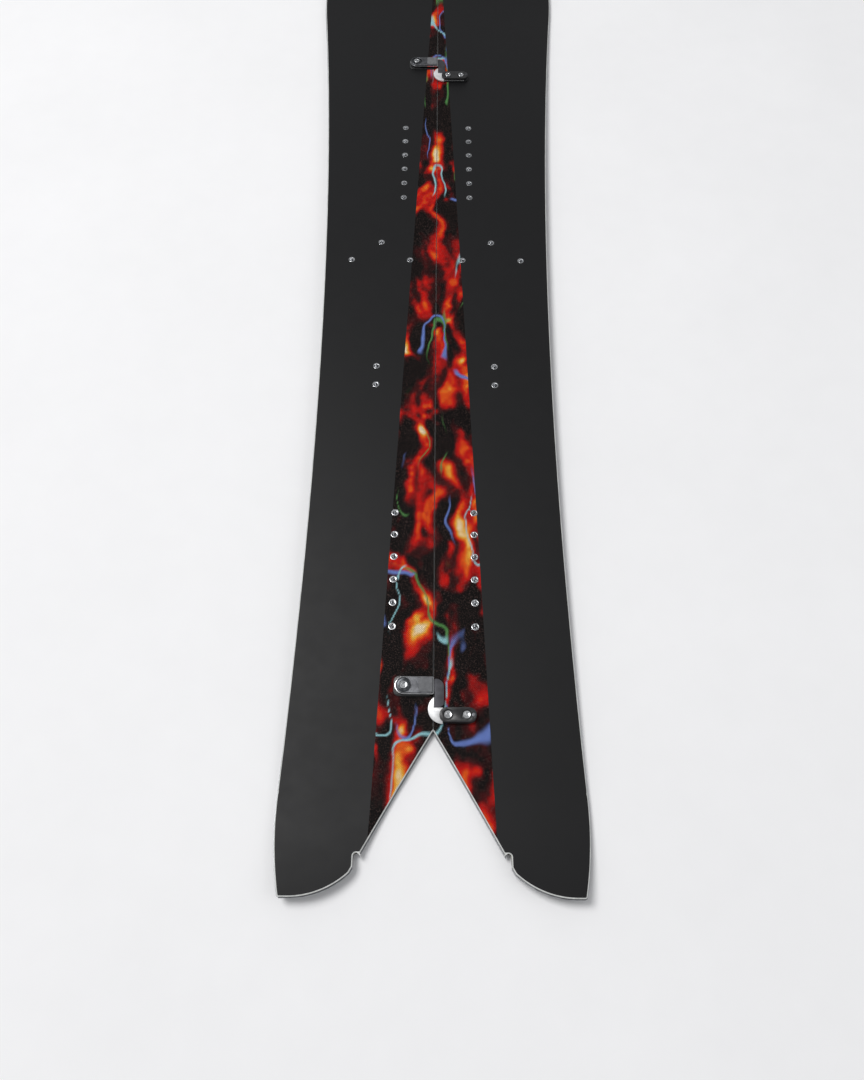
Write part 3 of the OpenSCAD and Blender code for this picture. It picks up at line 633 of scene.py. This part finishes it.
def on_clip(solid, y):
    """Turns a solid about X by the topsheet's slope and sets it on the topsheet at the seam."""
    points, faces = solid
    a = np.arctan((deck(np.array(y + 10.0)) - deck(np.array(y - 10.0))) / 20)
    c, s = np.cos(a), np.sin(a)
    return np.column_stack([points[:, 0], y + points[:, 1] * c - points[:, 2] * s,
                            deck(np.array(y)) + points[:, 1] * s + points[:, 2] * c]), faces


def stack_of(loops):
    """Rings from pairs of a plan loop and its height."""
    return np.stack([np.column_stack([p, np.full(len(p), float(z))]) for p, z in loops])


def slab(loop, z0, z1, b):
    """A plan loop drawn up from z0 to z1, its upper and lower edges rounded off by b in three steps."""
    k = np.array([1.0, 0.45, 0.12, 0.0]) * b
    up = np.array([0.0, 0.12, 0.45, 1.0]) * b
    low = [(inset(loop, d), z0 + h) for d, h in zip(k, up)]
    high = [(inset(loop, d), z1 - h) for d, h in zip(k[::-1], up[::-1])]
    return loft(stack_of(low + high))


def round_box(x0, x1, y0, y1, r, n=9):
    """A rectangle with corners of radius r, counter-clockwise."""
    q = np.pi / 2
    corners = ((x1 - r, y1 - r), (x0 + r, y1 - r), (x0 + r, y0 + r), (x1 - r, y0 + r))
    return np.concatenate([arc(c, r, k * q, (k + 1) * q, n) for k, c in enumerate(corners)])


def lever():
    """The lever: a round end about the pivot and straight sides to the seam, with a counterbore
    and a bore whose points lie at the same angles as the outline's."""
    def plan(b):
        h, x1 = 8.6 - b, 28.7 - b
        back = arc((0, 0), h, np.pi / 2, 1.5 * np.pi, 41)
        top = np.column_stack([np.linspace(x1 - 0.8, 0, 16)[:-1], np.full(15, h)])
        right = np.column_stack([np.full(11, x1), np.linspace(-h + 0.8, h - 0.8, 11)])
        return np.concatenate([back, top[::-1] * (1, -1), right, top])

    def circle(r):
        p = plan(0)
        return r * p / np.hypot(*p.T)[:, None]
    rings = [(plan(0.35), 3.3), (plan(0.1), 3.4), (plan(0.0), 3.65), (plan(0.0), 4.35), (plan(0.12), 4.5),
             (plan(0.55), 4.55), (plan(0.6), 5.65), (plan(0.7), 5.9), (plan(0.95), 6.07), (plan(1.15), 6.1),
             (circle(7.25), 6.1), (circle(7.05), 5.95), (circle(7.0), 4.5), (circle(3.05), 4.5),
             (circle(3.05), 3.3)]
    return loft(stack_of([(p + pivot, z) for p, z in rings]), closed=True), len(plan(0))


def turned(x, y, r, z, a):
    """One ring at height z: centre + r (cos a, sin a)."""
    return np.column_stack([x + r * np.cos(a), y + r * np.sin(a), np.full(len(a), z)])


def socket_head(x, y, z0, z1, r, key, z_floor):
    """A screw head: knurled rim, rounded top, dished face and a six-sided socket of half width key."""
    a = np.linspace(0, 2 * np.pi, 73)[:-1]
    knurl = 1 + 0.014 * np.cos(36 * a)
    six = key / np.cos((a % (np.pi / 3)) - np.pi / 6)
    rings = [(r * knurl, z0), (r * knurl, z1 - 0.5), (r - 0.08, z1 - 0.25), (r - 0.4, z1),
             (key * 1.5, z1), (key * 1.3, z1 - 0.15), (six, z1 - 0.3), (six, z_floor)]
    return loft(np.stack([turned(x, y, q, z, a) for q, z in rings]))


def barrel(x, y, rings):
    """A profile of (r, z) rings turned about an upright line."""
    a = np.linspace(0, 2 * np.pi, 49)[:-1]
    return loft(np.stack([turned(x, y, r, z, a) for r, z in rings]))


def softened(name, node, material, body, width):
    """The CAD node's own shape, merged, with every sharp edge rounded by a small bevel."""
    made = bmesh.new()
    made.from_mesh(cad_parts[node].data)
    bmesh.ops.remove_doubles(made, verts=made.verts, dist=1e-6)
    bmesh.ops.dissolve_limit(made, angle_limit=radians(1), verts=made.verts, edges=made.edges)
    mesh = bpy.data.meshes.new(name)
    made.to_mesh(mesh)
    made.free()
    mesh.polygons.foreach_set("use_smooth", [True] * len(mesh.polygons))
    mesh.materials.clear()
    mesh.materials.append(material)
    piece = bpy.data.objects.new(name, mesh)
    bpy.context.scene.collection.objects.link(piece)
    round_off = piece.modifiers.new("rounding", "BEVEL")
    round_off.width, round_off.segments = width * 0.001, 2
    round_off.limit_method, round_off.angle_limit = "ANGLE", radians(40)
    round_off.harden_normals = True
    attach(piece, body)
    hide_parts(node)
    return piece


hook_plan = np.concatenate([[(-12, -6), (1.1, -6), (1.1, -20.8)], arc((5.7, -16.3), 4.5, -np.pi / 2, 0, 10),
                            arc((2.2, -1.1), 8, 0, radians(80), 12), [(-12, 6.0)]])
polished_rings = 5  # the lever's lower edge, up to its step, is polished
for end, y in clip_places.items():
    body = f"{end}_latch"
    solid, around = lever()
    arm = make(f"{end}_lever", [on_clip(solid, y)], lever_steel, body, (f"{end}_latch_arm",))
    arm.data.materials.append(bright_steel)
    polished = np.arange(len(arm.data.polygons)) // around < polished_rings
    arm.data.polygons.foreach_set("material_index", polished.astype(np.int32))
    grip = slab(round_box(-13.95, -0.85, -6.95, 6.95, 1.5), 5.6, 6.75, 0.35)
    make(f"{end}_lever_grip", [on_clip(grip, y)], grip_rubber, body, (f"{end}_latch_grip",))
    make(f"{end}_hook", [on_clip(slab(hook_plan, 1.3, 3.3, 0.3), y)], hook_charcoal, body,
         (f"{end}_latch_hook",))
    post = barrel(*pivot, [(2.4, -4.4), (2.4, 0.1), (2.95, 0.1), (2.95, 5.3)])
    head = socket_head(*pivot, 5.3, 7.0, 3.8, 1.6, 5.5)
    make(f"{end}_pivot_screw", [on_clip(post, y), on_clip(head, y)], bright_steel, "left_ski",
         (f"{end}_latch_pivot_screw",))
    softened(f"{end}_spring_washer", f"{end}_latch_washer", washer_steel, "left_ski", 0.12)
    softened(f"{end}_latch_plate", f"{end}_latch_base", clip_black, "left_ski", 0.25)
    softened(f"{end}_plate_screw", f"{end}_latch_base_screw", bright_steel, "left_ski", 0.1)

# ---- Clip catches ----
# A pale alloy crescent lies between a black base and a black cover on the other ski, held by two
# socket screws in counterbores and located by a small pin.

catch_alloy = finish("catch_alloy", (205, 206, 207), (238, 238, 239), (0.3, 0.42), metal=0.35,
                     scale=1000, bump=0.3)
catch_screw_x, catch_dowel_x, catch_y = (14.1, 31.7), 38.4, -28.4
for end, y in clip_places.items():
    softened(f"{end}_catch_foot", f"{end}_catch_base", clip_black, "right_ski", 0.2)
    softened(f"{end}_catch_crescent", f"{end}_catch_hook", catch_alloy, "right_ski", 0.35)
    softened(f"{end}_catch_lid", f"{end}_catch_cover", clip_black, "right_ski", 0.45)
    screws = []
    for x in catch_screw_x:
        screws.append(on_clip(barrel(x, catch_y, [(2.4, -4.4), (2.4, 4.7)]), y))
        screws.append(on_clip(socket_head(x, catch_y, 4.7, 6.9, 3.8, 1.6, 5.3), y))
    make(f"{end}_catch_socket_screws", screws, bright_steel, "right_ski",
         (f"{end}_catch_screws",))
    pin = barrel(catch_dowel_x, catch_y, [(2.0, 5.1), (2.0, 6.6), (1.85, 6.8), (1.5, 6.9), (0.6, 6.9)])
    make(f"{end}_catch_dowel", [on_clip(pin, y)], lever_steel, "right_ski",
         (f"{end}_catch_pin",))

# ---- Core, laminates and spacers ----
# Wood, glass and tip spacers inside the skis, which show only in the bores and the skin notches.

core_wood = finish("core_wood", (168, 128, 84), (206, 168, 118), (0.6, 0.75), scale=300,
                   stretch=(1, 0.05, 1), bump=0.3)
glass_laminate = finish("glass_laminate", (150, 146, 122), (196, 192, 168), (0.45, 0.6), scale=900,
                        stretch=(1, 0.3, 1), bump=0.3)
spacer_plastic = finish("spacer_plastic", (34, 34, 36), (56, 56, 59), (0.4, 0.5), scale=700, bump=0.2)
inside = {"core": core_wood, "lower_laminate": glass_laminate, "upper_laminate": glass_laminate,
          "nose_spacer": spacer_plastic, "tail_spacer": spacer_plastic, "clip_inserts": insert_steel}
for side, body, mirrored in sides:
    for part, material in inside.items():
        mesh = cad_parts[f"{side}_{part}"].data
        mesh.materials.clear()
        mesh.materials.append(material)
